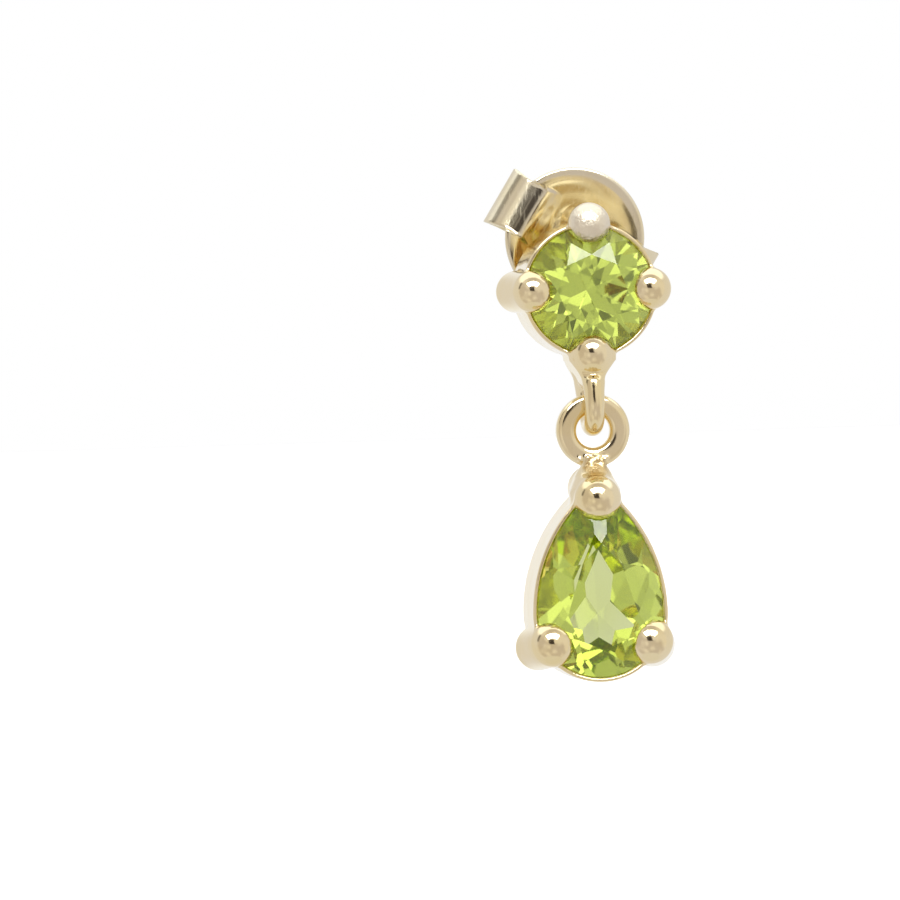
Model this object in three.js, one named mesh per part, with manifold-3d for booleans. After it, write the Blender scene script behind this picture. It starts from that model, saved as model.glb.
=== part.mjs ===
// Drop earring: a round stone on an ear post, a pear stone swinging below it, and a push back.
// Millimetres. +Z up, +X to the viewer's right, -Y towards the viewer, and the ear post along +Y.
// The origin is on the post's axis, in the plane of the stud setting's back.
import * as THREE from 'three';
import { mergeVertices } from 'three/addons/utils/BufferGeometryUtils.js';
import Module from 'manifold-3d';

const wasm = await Module();
wasm.setup();

// Stones
const roundStoneDiameter = 4;
const pearStoneWidth = 4;
const pearStoneLength = 6;
const girdleThickness = 0.09;
const tableShare = 0.56;
const roundCrownHeight = 0.6;
const roundPavilionDepth = 1.88;
const pearCrownHeight = 0.6;
const pearPavilionDepth = 1.63;

// Settings
const stoneClearance = 0.04;
const rimWidth = 0.15;
const rimLift = 0.05;
const wallThickness = 0.35;
const studDepth = 2.6;
const dropDepth = 2.5;
const ledgeThickness = 0.45;
const studLedgeWidth = 0.85;
const dropLedgeWidth = 0.4;

// Prongs
const studProngRadius = 0.69;
const studProngOutset = 0.05;
const dropProngRadius = 0.73;
const dropProngInset = 0.05;
const dropProngAngle = 30;
const tipProngRadius = 0.75;
const tipProngInset = 0.35;
const prongLead = 0.82;
const prongEndGap = 0.3;

// Ear post
const postRadius = 0.4;
const postLength = 10;
const postRise = 1.67;
const postTipLength = 0.3;
const postTipShare = 0.6;

// Loop under the stud and ring over the drop
const loopWireRadius = 0.32;
const loopLead = 0.4;
const linkClearance = 0.05;
const ringOuterRadius = 1.17;
const ringHoleRadius = 0.54;
const ringThickness = 0.6;
const ringEdgeRadius = 0.2;
const ringDrop = 4.45;
const ringSetback = 0.7;
const ringToTip = 1.8;
const neckTopRadius = 0.5;
const neckBaseRadius = 0.74;
const loopNeckShare = 0.85;
const loopFootShare = 0.7;

// Push back
const nutDiscRadius = 2.24;
const nutHoleClearance = 0.05;
const nutSheet = 0.2;
const nutDish = 0.3;
const nutFlareShare = 0.6;
const nutFloorRadius = 1.3;
const nutCollarWall = 0.24;
const nutCollarDepth = 0.45;
const nutHalfLength = 2.7;
const nutScrollDepth = 1.55;
const nutNeckHalfWidth = 1.13;
const nutEndHalfWidth = 1.05;
const nutTurn = 32;
const nutGap = 0.62;

// Facet counts of the round forms
const roundSides = 40;
const pearSideSteps = 12;
const pearEndSteps = 18;
const prongSides = 14;
const wireSides = 8;
const ringSides = 16;
const discSides = 32;

const gold = { color: 0xc9a668, roughness: 0.16, metalness: 1 };
const peridot = { color: 0x9fc42f, roughness: 0.02, metalness: 0 };
const degrees = Math.PI / 180;

// A closed solid from a three.js geometry
function solidOf(geometry) {
  const bare = geometry.clone();
  bare.deleteAttribute('normal');
  bare.deleteAttribute('uv');
  const merged = mergeVertices(bare, 1e-5);
  const vertProperties = new Float32Array(merged.attributes.position.array);
  const triVerts = new Uint32Array(merged.index.array);
  return new wasm.Manifold(new wasm.Mesh({ numProp: 3, vertProperties, triVerts }));
}

// The three.js geometry of a solid
function geometryOf(solid) {
  const { vertProperties, triVerts } = solid.getMesh();
  const geometry = new THREE.BufferGeometry();
  geometry.setAttribute('position', new THREE.BufferAttribute(new Float32Array(vertProperties), 3));
  geometry.setIndex(new THREE.BufferAttribute(new Uint32Array(triVerts), 1));
  return geometry;
}

// A named mesh from a solid
function meshOf(name, solid, look) {
  const geometry = geometryOf(solid);
  geometry.computeVertexNormals();
  const mesh = new THREE.Mesh(geometry, new THREE.MeshStandardMaterial(look));
  mesh.name = name;
  return mesh;
}

function joined(solids) {
  return solids.reduce((whole, piece) => whole.add(piece));
}

// Round outline: its polygon at an offset, and its support point in a direction
const roundOutline = {
  half: roundStoneDiameter / 2,
  points(offset) {
    const radius = this.half + offset;
    const turn = (step) => (step / roundSides) * 2 * Math.PI;
    return Array.from({ length: roundSides }, (_, step) => polar(radius, turn(step)));
  },
  support(angle) {
    return polar(this.half, angle);
  },
};

// Pear outline: a half circle closed by two side arcs that meet in a point above
const pearOutline = {
  half: pearStoneWidth / 2,
  tip: pearStoneLength - pearStoneWidth / 2,
  sideRadius() {
    return (this.tip ** 2 + this.half ** 2) / (2 * this.half);
  },
  points(offset) {
    const side = this.sideRadius();
    const shift = side - this.half;
    const tipAngle = Math.acos(shift / (side + offset));
    const list = [];
    for (let step = 0; step < pearEndSteps; step += 1) {
      list.push(polar(this.half + offset, Math.PI * (1 + step / pearEndSteps)));
    }
    for (let step = 0; step < pearSideSteps; step += 1) {
      const point = polar(side + offset, (tipAngle * step) / pearSideSteps);
      list.push(new THREE.Vector2(point.x - shift, point.y));
    }
    for (let step = 0; step < pearSideSteps; step += 1) {
      const point = polar(side + offset, tipAngle * (1 - step / pearSideSteps));
      list.push(new THREE.Vector2(shift - point.x, point.y));
    }
    return list;
  },
  support(angle) {
    const side = this.sideRadius();
    const shift = side - this.half;
    const tipAngle = Math.acos(shift / side);
    const rise = Math.asin(Math.sin(angle));
    if (rise <= 0) return polar(this.half, angle);
    if (rise >= tipAngle) return new THREE.Vector2(0, this.tip);
    const mirror = Math.cos(angle) < 0 ? -1 : 1;
    return new THREE.Vector2(mirror * (side * Math.cos(rise) - shift), side * Math.sin(rise));
  },
};

function polar(radius, angle) {
  return new THREE.Vector2(radius * Math.cos(angle), radius * Math.sin(angle));
}

// A straight wall of an outline between two levels, the upper one nearer the viewer
function prism(points, low, high) {
  const options = { depth: high - low, steps: 1, bevelEnabled: false };
  const geometry = new THREE.ExtrudeGeometry(new THREE.Shape(points), options);
  return geometry.translate(0, 0, low);
}

// Facet directions of the two cuts in degrees. Steepness is a share of the crown's slope over its
// run, or of the pavilion's depth over half the stone's width.
const roundCut = {
  outline: roundOutline,
  crown: roundCrownHeight,
  pavilion: roundPavilionDepth,
  mains: [0, 45, 90, 135, 180, 225, 270, 315],
  starSteepness: 0.6,
  upperSteepness: 1.2,
  lowers: [11, 34, 56, 79, 101, 124, 146, 169, 191, 214, 236, 259, 281, 304, 326, 349].map(
    (angle) => ({ angle, steepness: 1.043 }),
  ),
  culetMains: [0, 45, 90, 135, 180, 225, 270, 315].map((angle) => ({ angle, steepness: 0.957 })),
};
const pearCut = {
  outline: pearOutline,
  crown: pearCrownHeight,
  pavilion: pearPavilionDepth,
  mains: [0, 35, 90, 145, 180, 225, 270, 315],
  starSteepness: 0.6,
  upperSteepness: 1.2,
  lowers: [
    { angle: 5, steepness: 1.17 },
    { angle: 20, steepness: 1.41 },
    { angle: 35, steepness: 1.15 },
    { angle: 50, steepness: 1.23 },
    { angle: 130, steepness: 1.2 },
    { angle: 145, steepness: 1.08 },
    { angle: 160, steepness: 1.41 },
    { angle: 175, steepness: 1.17 },
    { angle: 199, steepness: 1.47 },
    { angle: 222, steepness: 1.17 },
    { angle: 247, steepness: 1.47 },
    { angle: 269, steepness: 1.17 },
    { angle: 291, steepness: 1.47 },
    { angle: 312, steepness: 1.17 },
    { angle: 334, steepness: 1.47 },
  ],
  culetMains: [
    { angle: 50, steepness: 0.29 },
    { angle: 90, steepness: 0.21 },
    { angle: 199, steepness: 0.77 },
    { angle: 247, steepness: 0.77 },
    { angle: 291, steepness: 0.77 },
    { angle: 334, steepness: 0.77 },
  ],
};

// One facet plane: its outward normal and its distance from the stone's centre
function facet(direction, point, slope, level, side) {
  const normal = new THREE.Vector3(direction.x * slope, direction.y * slope, side).normalize();
  const distance = normal.dot(new THREE.Vector3(point.x, point.y, level * side));
  return { normal, distance };
}

// The facet planes of a cut: table, mains, stars and girdle facets above, girdle facets and mains below
function facetPlanes(cut) {
  const edge = girdleThickness / 2;
  const planes = [{ normal: new THREE.Vector3(0, 0, 1), distance: edge + cut.crown }];
  const angles = cut.mains.map((value) => value * degrees);
  angles.forEach((angle, index) => {
    const nextTurn = index + 1 < angles.length ? 0 : 2 * Math.PI;
    const next = angles[(index + 1) % angles.length] + nextTurn;
    planes.push(crownPlane(cut, angle, 1, edge), starPlane(cut, angle, next, edge));
    for (const share of [0.25, 0.75]) {
      planes.push(crownPlane(cut, angle + (next - angle) * share, cut.upperSteepness, edge));
    }
  });
  cut.lowers.forEach(({ angle, steepness }) => {
    planes.push(lowerPlane(cut, angle * degrees, steepness, edge));
  });
  cut.culetMains.forEach(({ angle, steepness }) => {
    planes.push(culetPlane(cut, angle * degrees, steepness, edge));
  });
  return planes;
}

function crownPlane(cut, angle, steepness, edge) {
  const direction = polar(1, angle);
  const point = cut.outline.support(angle);
  const run = (1 - tableShare) * point.dot(direction);
  return facet(direction, point, (cut.crown / run) * steepness, edge, 1);
}

// A lower facet runs down from the girdle
function lowerPlane(cut, angle, steepness, edge) {
  const slope = (cut.pavilion / cut.outline.half) * steepness;
  return facet(polar(1, angle), cut.outline.support(angle), slope, edge, -1);
}

// A pavilion main runs up from the culet
function culetPlane(cut, angle, steepness, edge) {
  const slope = (cut.pavilion / cut.outline.half) * steepness;
  return facet(polar(1, angle), new THREE.Vector2(0, 0), slope, edge + cut.pavilion, -1);
}

// A star facet runs down from the table's edge between two mains
function starPlane(cut, angle, next, edge) {
  const first = cut.outline.support(angle).multiplyScalar(tableShare);
  const second = cut.outline.support(next).multiplyScalar(tableShare);
  const along = second.clone().sub(first).normalize();
  const direction = new THREE.Vector2(along.y, -along.x);
  const run = ((1 - tableShare) / tableShare) * first.dot(direction);
  return facet(direction, first, (cut.crown / run) * cut.starSteepness, edge + cut.crown, 1);
}

// A cut stone, grown on every face by a clearance where it is the tool of its own seat
function stoneSolid(cut, grow) {
  const edge = girdleThickness / 2;
  const low = -edge - cut.pavilion - 1;
  const high = edge + cut.crown + 1;
  const blank = solidOf(prism(cut.outline.points(grow), low, high));
  const trim = (solid, { normal, distance }) =>
    solid.trimByPlane([-normal.x, -normal.y, -normal.z], -distance - grow);
  return facetPlanes(cut).reduce(trim, blank);
}

// The wall around a stone, with a ledge at its back and a window through the ledge
function headShell(outline, depth, ledgeWidth) {
  const front = girdleThickness / 2 + rimLift;
  const innerOffset = rimWidth - wallThickness;
  const wall = solidOf(prism(outline.points(rimWidth), -depth, front));
  const bore = solidOf(prism(outline.points(innerOffset), ledgeThickness - depth, front + 1));
  const window = solidOf(prism(outline.points(innerOffset - ledgeWidth), -depth - 1, front + 1));
  return wall.subtract(bore).subtract(window);
}

// A prong: a round bar along the head's depth, domed in front over the stone and rounded behind
function prong(radius, x, y, depth) {
  const back = prongEndGap - depth;
  const profile = [new THREE.Vector2(0, back)];
  for (const angle of [-60, -30, 0]) {
    const point = polar(radius, angle * degrees);
    profile.push(new THREE.Vector2(point.x, back + radius + point.y));
  }
  for (const angle of [0, 22, 44, 66]) {
    const point = polar(radius, angle * degrees);
    profile.push(new THREE.Vector2(point.x, prongLead - radius + point.y));
  }
  profile.push(new THREE.Vector2(0, prongLead));
  const bar = new THREE.LatheGeometry(profile, prongSides);
  return solidOf(bar.rotateX(Math.PI / 2).translate(x, y, 0));
}

// The ear post, from the ledge to its rounded free end
function earPost() {
  const end = -studDepth - postLength;
  const start = ledgeThickness / 2 - studDepth;
  const profile = [
    new THREE.Vector2(0, end),
    new THREE.Vector2(postRadius * postTipShare, end),
    new THREE.Vector2(postRadius, end + postTipLength),
    new THREE.Vector2(postRadius, start),
    new THREE.Vector2(0, start),
  ];
  const bar = new THREE.LatheGeometry(profile, ringSides);
  return solidOf(bar.rotateX(Math.PI / 2).translate(0, postRise, 0));
}

// How far the ring's rounded section reaches from its middle
function ringSectionReach() {
  const across = (ringOuterRadius - ringHoleRadius) / 2 - ringEdgeRadius;
  const deep = ringThickness / 2 - ringEdgeRadius;
  return Math.hypot(across, deep) + ringEdgeRadius;
}

const bendRadius = ringSectionReach() + linkClearance + loopWireRadius;
const swingDrop = ringDrop - (ringOuterRadius + ringHoleRadius) / 2;
const swingLead = loopLead - bendRadius;

// The loop's route: down in front, round the swing axis, and up to the foot of the stud's back
class LoopRoute extends THREE.Curve {
  constructor() {
    super();
    const footDrop = roundOutline.half + rimWidth - wallThickness;
    const foot = new THREE.Vector2(ledgeThickness * loopFootShare - studDepth, -footDrop);
    const reach = foot.clone().sub(new THREE.Vector2(swingLead, -swingDrop));
    const lean = Math.atan2(-reach.x, reach.y) - Math.asin(bendRadius / reach.length());
    const backLeg = Math.sqrt(reach.lengthSq() - bendRadius ** 2);
    const frontLeg = swingDrop - roundOutline.half - studProngOutset;
    this.lean = lean;
    this.lengths = [frontLeg, bendRadius * (Math.PI - lean), backLeg];
  }

  getPoint(share, target = new THREE.Vector3()) {
    const [front, bend, back] = this.lengths;
    const run = share * (front + bend + back);
    if (run < front) {
      return target.set(0, front - run - swingDrop, swingLead + bendRadius);
    }
    const angle = -Math.min((run - front) / bendRadius, Math.PI - this.lean);
    const spare = Math.max(run - front - bend, 0);
    const y = bendRadius * Math.sin(angle) - swingDrop + spare * Math.cos(this.lean);
    const z = swingLead + bendRadius * Math.cos(angle) - spare * Math.sin(this.lean);
    return target.set(0, y, z);
  }
}

function loopSolid() {
  const turn = (step) => ((step + 0.5) / wireSides) * 2 * Math.PI;
  const section = Array.from({ length: wireSides }, (_, step) => polar(loopWireRadius, turn(step)));
  const options = { extrudePath: new LoopRoute(), steps: 22, bevelEnabled: false };
  return solidOf(new THREE.ExtrudeGeometry(new THREE.Shape(section), options));
}

// A tapered joint from the lowest prong to the loop's front leg
function loopNeck() {
  const top = roundOutline.half + studProngOutset;
  const length = studProngRadius + loopWireRadius;
  const topRadius = studProngRadius * loopNeckShare;
  const cone = new THREE.CylinderGeometry(topRadius, loopWireRadius, length, prongSides);
  return solidOf(cone.translate(0, -top - length / 2, loopLead - loopWireRadius / 2));
}

function studSetting() {
  const reach = roundOutline.half + studProngOutset;
  const pieces = [headShell(roundOutline, studDepth, studLedgeWidth), earPost(), loopNeck(), loopSolid()];
  for (const angle of [0, 90, 180, 270]) {
    const place = polar(reach, angle * degrees);
    pieces.push(prong(studProngRadius, place.x, place.y, studDepth));
  }
  return joined(pieces).subtract(stoneSolid(roundCut, stoneClearance));
}

// The flat-faced ring with rounded edges, soldered on top of the drop
function dropRing() {
  const corners = [[1, 1], [-1, 1], [-1, -1], [1, -1]];
  const middle = (ringOuterRadius + ringHoleRadius) / 2;
  const across = (ringOuterRadius - ringHoleRadius) / 2 - ringEdgeRadius;
  const deep = ringThickness / 2 - ringEdgeRadius;
  const profile = [];
  corners.forEach(([outward, forward], index) => {
    for (const share of [0, 0.5, 1]) {
      const point = polar(ringEdgeRadius, (index + share) * (Math.PI / 2));
      profile.push(new THREE.Vector2(middle + outward * across + point.x, forward * deep + point.y));
    }
  });
  profile.push(profile[0].clone());
  const ring = new THREE.LatheGeometry(profile, ringSides);
  return solidOf(ring.rotateX(Math.PI / 2).translate(0, pearOutline.tip + ringToTip, -ringSetback));
}

// The soldered neck between the ring and the prong at the drop's point
function dropNeck() {
  const top = pearOutline.tip + ringToTip - ringOuterRadius + ringEdgeRadius;
  const length = top - (pearOutline.tip - tipProngInset);
  const cone = new THREE.CylinderGeometry(neckTopRadius, neckBaseRadius, length, prongSides);
  return solidOf(cone.translate(0, top - length / 2, -ringSetback));
}

function dropSetting() {
  const reach = pearOutline.half - dropProngInset;
  const pieces = [headShell(pearOutline, dropDepth, dropLedgeWidth), dropRing(), dropNeck()];
  pieces.push(prong(tipProngRadius, 0, pearOutline.tip - tipProngInset, dropDepth));
  for (const angle of [-dropProngAngle, dropProngAngle - 180]) {
    const place = polar(reach, angle * degrees);
    pieces.push(prong(dropProngRadius, place.x, place.y, dropDepth));
  }
  return joined(pieces).subtract(stoneSolid(pearCut, stoneClearance));
}

// The push back's dished disc with the collar round its hole
function nutDisc() {
  const hole = postRadius + nutHoleClearance;
  const middle = (nutFloorRadius + nutDiscRadius) / 2;
  const profile = [
    new THREE.Vector2(hole, -nutDish),
    new THREE.Vector2(nutFloorRadius, -nutDish),
    new THREE.Vector2(middle, -nutDish * nutFlareShare),
    new THREE.Vector2(nutDiscRadius, 0),
    new THREE.Vector2(nutDiscRadius, -nutSheet),
    new THREE.Vector2(middle, -nutDish * nutFlareShare - nutSheet),
    new THREE.Vector2(nutFloorRadius, -nutDish - nutSheet),
    new THREE.Vector2(hole + nutCollarWall, -nutDish - nutSheet),
    new THREE.Vector2(hole + nutCollarWall, -nutDish - nutSheet - nutCollarDepth),
    new THREE.Vector2(hole, -nutDish - nutSheet - nutCollarDepth),
    new THREE.Vector2(hole, -nutDish),
  ];
  return solidOf(new THREE.LatheGeometry(profile.reverse(), discSides).rotateX(Math.PI / 2));
}

// The scroll's middle line: shares of its run from floor to end, and of its depth behind the disc's rim
const scrollShares = [
  { out: 0, back: 0.22 },
  { out: 0.12, back: 0.2 },
  { out: 0.35, back: 0.09 },
  { out: 0.6, back: 0.03 },
  { out: 0.85, back: 0.14 },
  { out: 1, back: 0.45 },
  { out: 0.93, back: 0.78 },
  { out: 0.68, back: 0.98 },
  { out: 0.32, back: 1 },
  { out: 0.02, back: 0.86 },
];

// One ear: the sheet rises to the rim's height, turns over and rolls back to the collar
function nutEar() {
  const inner = nutFloorRadius - nutSheet;
  const run = nutHalfLength - nutSheet / 2 - inner;
  const line = scrollShares.map(
    ({ out, back }) => new THREE.Vector2(inner + out * run, -nutSheet / 2 - back * nutScrollDepth),
  );
  const curve = new THREE.SplineCurve(line);
  const steps = 22;
  const upper = [];
  const lower = [];
  for (let step = 0; step <= steps; step += 1) {
    const point = curve.getPoint(step / steps);
    const tangent = curve.getTangent(step / steps);
    const normal = new THREE.Vector2(-tangent.y, tangent.x).multiplyScalar(nutSheet / 2);
    upper.push(point.clone().add(normal));
    lower.push(point.clone().sub(normal));
  }
  const width = 2 * nutNeckHalfWidth;
  const options = { depth: width, steps: 1, bevelEnabled: false };
  const section = new THREE.Shape([...lower, ...upper.reverse()]);
  const strip = new THREE.ExtrudeGeometry(section, options).rotateX(Math.PI / 2);
  const plan = prism(
    [
      new THREE.Vector2(0, -nutNeckHalfWidth),
      new THREE.Vector2(nutFloorRadius, -nutNeckHalfWidth),
      new THREE.Vector2(nutHalfLength + nutSheet, -nutEndHalfWidth),
      new THREE.Vector2(nutHalfLength + nutSheet, nutEndHalfWidth),
      new THREE.Vector2(nutFloorRadius, nutNeckHalfWidth),
      new THREE.Vector2(0, nutNeckHalfWidth),
    ],
    -2 * nutScrollDepth,
    nutSheet,
  );
  return solidOf(strip.translate(0, nutNeckHalfWidth, 0)).intersect(solidOf(plan));
}

// The disc, an ear, and the same ear turned round the post's axis to the other side
function nutSolid() {
  const ear = nutEar();
  return joined([nutDisc(), ear, solidOf(geometryOf(ear).rotateZ(Math.PI))]);
}

// Each head is modelled facing +Z with its height along +Y, and its group turns it to face -Y
function facing(name, y, z) {
  const group = new THREE.Group();
  group.name = name;
  group.rotation.x = Math.PI / 2;
  group.position.set(0, y, z);
  return group;
}

const stud = facing('stud', -studDepth, -postRise);
stud.add(meshOf('stud_setting', studSetting(), gold));
stud.add(meshOf('stud_stone', stoneSolid(roundCut, 0), peridot));

const dropFront = -studDepth - swingLead - ringSetback;
const drop = facing('drop', dropFront, -postRise - ringDrop - ringToTip - pearOutline.tip);
drop.add(meshOf('drop_setting', dropSetting(), gold));
drop.add(meshOf('drop_stone', stoneSolid(pearCut, 0), peridot));

const nut = facing('nut', nutGap, 0);
const pushBack = meshOf('push_back', nutSolid(), gold);
pushBack.rotation.z = -nutTurn * degrees;
nut.add(pushBack);

const group = new THREE.Group();
group.add(stud, drop, nut);

export default group;
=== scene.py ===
"""A gold drop earring: a round stone on an ear post, and a pear stone that swings below it.

The frame is in metres, with +Z up, +X to the viewer's right and the stones facing -Y. The metal's
sizes are written in millimetres. Each metal piece is one cast and soldered form, worked out as a
distance from its surface over a grid of points, so that prongs, walls and wires flow into each other.
"""

from __future__ import annotations

import logging
import math
from dataclasses import dataclass, field
from enum import Enum
from functools import reduce
from typing import Callable

import bpy
import numpy as np
from mathutils import Matrix, Vector


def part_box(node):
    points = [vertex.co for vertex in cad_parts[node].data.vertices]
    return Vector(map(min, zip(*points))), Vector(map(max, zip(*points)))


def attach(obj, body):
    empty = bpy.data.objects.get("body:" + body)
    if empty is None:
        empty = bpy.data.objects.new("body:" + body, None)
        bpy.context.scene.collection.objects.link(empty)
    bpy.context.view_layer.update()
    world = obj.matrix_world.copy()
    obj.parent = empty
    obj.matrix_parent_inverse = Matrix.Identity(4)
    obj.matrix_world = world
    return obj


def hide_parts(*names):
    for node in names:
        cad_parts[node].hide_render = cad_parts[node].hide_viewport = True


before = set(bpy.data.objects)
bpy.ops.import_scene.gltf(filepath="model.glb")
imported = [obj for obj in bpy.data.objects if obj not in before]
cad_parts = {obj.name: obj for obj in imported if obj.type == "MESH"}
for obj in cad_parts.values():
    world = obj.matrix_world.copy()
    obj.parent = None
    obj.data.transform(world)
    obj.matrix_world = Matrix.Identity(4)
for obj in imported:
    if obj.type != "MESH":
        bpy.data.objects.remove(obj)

log = logging.getLogger("earring")
MM = 0.001
FAR = 9.0  # millimetres, further off than any part of a piece
Array = np.ndarray
Points = tuple[Array, Array, Array]
Field = Callable[[Array, Array, Array], Array]


# Blending of solids


def soft_union(first: Array, second: Array, reach: float) -> Array:
    """Joins two solids with a fillet.

    Args:
        first: Signed distances to the first solid, negative inside.
        second: Signed distances to the second solid.
        reach: How far apart two surfaces still melt into each other.

    Returns:
        The smaller distance, rounded off by a parabola where the two are within reach.
    """
    share = np.clip(0.5 + 0.5 * (second - first) / reach, 0, 1)
    return second + (first - second) * share - reach * share * (1 - share)


def soft_meet(first: Array, second: Array, reach: float) -> Array:
    """Keeps what two solids share, with a rounded edge of the given reach."""
    return -soft_union(-first, -second, reach)


def soft_cut(body: Array, tool: Array, reach: float) -> Array:
    """Takes a tool away from a body, with a rounded edge of the given reach."""
    return soft_meet(body, -tool, reach)


def bar(points: Points, start: Array, end: Array, wide: float, thin: float) -> Array:
    """A round bar with round ends.

    Args:
        points: The x, y and z of the places asked about.
        start: Middle of the bar's first end.
        end: Middle of its other end.
        wide: Radius at the start.
        thin: Radius at the end.

    Returns:
        The distance to the nearest place on the middle line, less the radius there.
    """
    run = end - start
    offsets = [value - place for value, place in zip(points, start)]
    along = sum(offset * part for offset, part in zip(offsets, run)) / (run @ run)
    along = np.clip(along, 0, 1)
    away = sum((offset - along * part) ** 2 for offset, part in zip(offsets, run))
    return np.sqrt(away) - (wide + (thin - wide) * along)


def smooth_step(value: Array) -> Array:
    """Runs from 0 to 1 with level ends: three times the square less twice the cube."""
    share = np.clip(value, 0, 1)
    return share * share * (3 - 2 * share)


# From distances to a skin


CORNERS = [(i, j, k) for i in (0, 1) for j in (0, 1) for k in (0, 1)]


def sample(shape: Field, axes: list[Array]) -> Array:
    """The field's values on the whole grid, worked out a few slices at a time.

    Args:
        shape: The field.
        axes: The grid's places along x, y and z.

    Returns:
        One value for each point of the grid.
    """
    values = np.empty([len(axis) for axis in axes], dtype=np.float32)
    thickness = 12
    for first in range(0, len(axes[0]), thickness):
        part = slice(first, first + thickness)
        x, y, z = np.meshgrid(axes[0][part], axes[1], axes[2], indexing="ij")
        values[part] = shape(x, y, z)
    return values


def skin(shape: Field, low: Array, high: Array, step: float) -> tuple[Array, Array]:
    """Wraps a closed surface of four-sided faces round a solid given by its distances.

    Each grid cell that the surface crosses gets one point, the mean of the crossings on its edges,
    and each grid edge that is crossed gets a face between the four cells round it. The points are
    then drawn onto the exact surface along its slope.

    Args:
        shape: Signed distance, negative inside, in millimetres.
        low: Lowest corner of the space to search.
        high: Highest corner of it.
        step: Grid spacing.

    Returns:
        The points and the faces.
    """
    axes = [np.arange(start - 2 * step, end + 3 * step, step) for start, end in zip(low, high)]
    values = sample(shape, axes)
    inside = values < 0
    size = np.array(values.shape) - 1
    count = np.zeros(size, dtype=np.int8)
    for i, j, k in CORNERS:
        count += inside[i : size[0] + i, j : size[1] + j, k : size[2] + k]
    crossed = (count > 0) & (count < 8)
    cells = np.argwhere(crossed)
    number = np.full(size, -1, dtype=np.int64)
    number[crossed] = np.arange(len(cells))

    total = np.zeros((len(cells), 3))
    hits = np.zeros(len(cells))
    for corner in CORNERS:
        for axis in range(3):
            if corner[axis]:
                continue
            far = list(corner)
            far[axis] = 1
            near_value = values[tuple((cells + corner).T)]
            far_value = values[tuple((cells + far).T)]
            cut = (near_value < 0) != (far_value < 0)
            share = np.where(cut, near_value / np.where(cut, near_value - far_value, 1), 0)
            place = np.tile(np.array(corner, dtype=float), (len(cells), 1))
            place[:, axis] = share
            total += place * cut[:, None]
            hits += cut
    origin = np.array([axis[0] for axis in axes])
    points = origin + (cells + total / hits[:, None]) * step

    faces = []
    for axis in range(3):
        one, two = (axis + 1) % 3, (axis + 2) % 3
        lower = [slice(1, -1)] * 3
        upper = [slice(1, -1)] * 3
        lower[axis], upper[axis] = slice(0, -1), slice(1, None)
        change = inside[tuple(lower)] != inside[tuple(upper)]
        edge = np.argwhere(change) + 1
        edge[:, axis] -= 1
        leaving = inside[tuple(edge.T)]
        ring = []
        for back_one, back_two in ((0, 0), (1, 0), (1, 1), (0, 1)):
            cell = edge.copy()
            cell[:, one] -= back_one
            cell[:, two] -= back_two
            ring.append(number[tuple(cell.T)])
        quad = np.stack(ring, axis=1)
        faces.append(np.where(leaving[:, None], quad, quad[:, ::-1]))
    return draw_on(shape, points, step), np.concatenate(faces)


def draw_on(shape: Field, points: Array, step: float) -> Array:
    """Moves points onto the surface: each goes back by its distance over its slope, three times.

    Args:
        shape: Signed distance, in millimetres.
        points: Places close to the surface.
        step: The grid's spacing, of which a point moves half at most each time.

    Returns:
        The moved points.
    """
    reach = step / 8
    for _ in range(3):
        value = shape(*points.T)
        slope = np.empty_like(points)
        for axis in range(3):
            shift = np.zeros(3)
            shift[axis] = reach
            slope[:, axis] = (shape(*(points + shift).T) - shape(*(points - shift).T)) / (2 * reach)
        steep = np.maximum((slope**2).sum(axis=1), 0.25)
        move = slope * (value / steep)[:, None]
        length = np.sqrt((move**2).sum(axis=1, keepdims=True))
        points = points - move * np.minimum(1, step / 2 / np.maximum(length, 1e-9))
    return points


def mesh_piece(name: str, points: Array, faces: Array) -> bpy.types.Object:
    """Makes a smooth-shaded object of four-sided faces.

    Args:
        name: The piece's name.
        points: Places in millimetres.
        faces: Four point numbers for each face, turning left seen from outside.

    Returns:
        The object, at the origin, with its place in its mesh.
    """
    mesh = bpy.data.meshes.new(name)
    mesh.vertices.add(len(points))
    mesh.vertices.foreach_set("co", (points * MM).astype(np.float32).ravel())
    mesh.loops.add(faces.size)
    mesh.loops.foreach_set("vertex_index", faces.astype(np.int32).ravel())
    mesh.polygons.add(len(faces))
    mesh.polygons.foreach_set("loop_start", np.arange(0, faces.size, 4, dtype=np.int32))
    mesh.update(calc_edges=True)
    mesh.polygons.foreach_set("use_smooth", np.ones(len(faces), dtype=bool))
    mesh.validate()
    piece = bpy.data.objects.new(name, mesh)
    bpy.context.scene.collection.objects.link(piece)
    return piece


def dress(piece: bpy.types.Object, material: bpy.types.Material) -> None:
    """Gives a piece or a frame node one material."""
    piece.data.materials.clear()
    piece.data.materials.append(material)


def cast(name: str, node: str, body: str, shape: Field, gold: bpy.types.Material) -> None:
    """Makes a metal piece that stands for a frame node.

    Args:
        name: The piece's name.
        node: The node that it replaces.
        body: The body that it rides on.
        shape: Its signed distance.
        gold: Its material.
    """
    low, high = (np.array(corner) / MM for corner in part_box(node))
    step = 0.05
    margin = 0.3
    points, faces = skin(shape, low - margin, high + margin, step)
    piece = mesh_piece(name, points, faces)
    dress(piece, gold)
    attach(piece, body)
    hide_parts(node)
    log.info("%s: %d faces", name, len(faces))


# Stones and the heads that hold them


class Cut(Enum):
    """The two outlines that the stones are cut to."""

    ROUND = "round"
    PEAR = "pear"


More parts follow.
